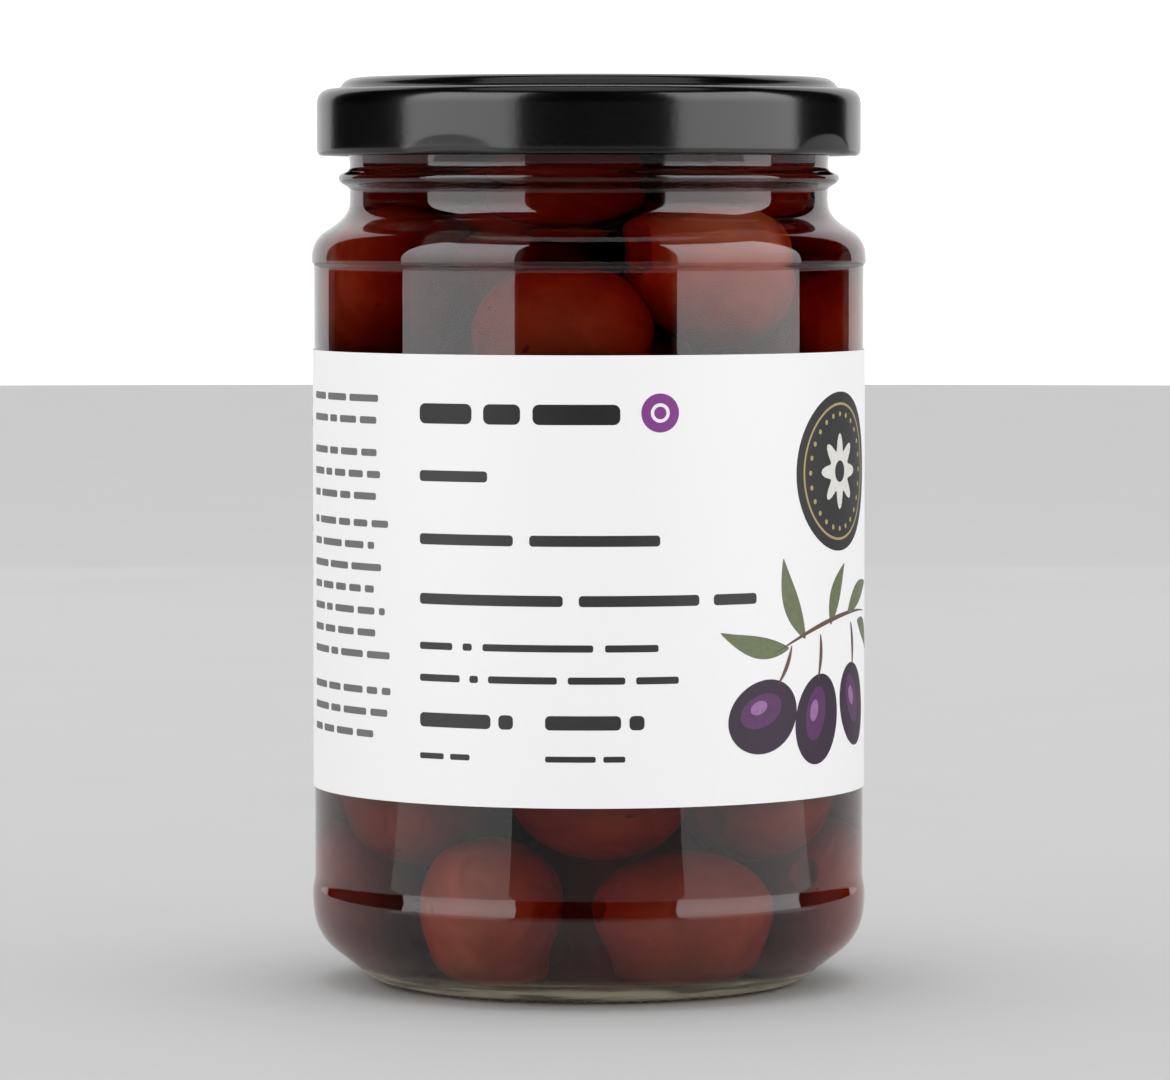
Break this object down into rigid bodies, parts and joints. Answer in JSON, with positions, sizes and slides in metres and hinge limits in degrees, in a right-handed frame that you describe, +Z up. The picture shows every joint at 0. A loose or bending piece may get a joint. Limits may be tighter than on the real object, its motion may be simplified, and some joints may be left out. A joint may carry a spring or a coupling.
{
  "type": "jar of olives",
  "caption": "Round glass jar with a black twist-off lid, a white paper label round its body, and whole dark olives packed behind the glass.",
  "frame": {"origin": "centre of the jar's underside, level with the surface that it stands on", "axes": "+Z up along the jar's axis, -Y towards the front of the label"},
  "size_m": [0.068, 0.068, 0.111],
  "materials": {
    "clear_glass": "clear, glossy",
    "black_lacquer": "satin black lacquer on tinplate",
    "label_paper": "smooth, slightly coated",
    "olive_skin": "wet, smooth skin"
  },
  "bodies": {
    "root": {"glass_jar": "clear_glass", "lid": "black_lacquer", "label": "label_paper", "olives": "olive_skin"}
  },
  "joints": []
}
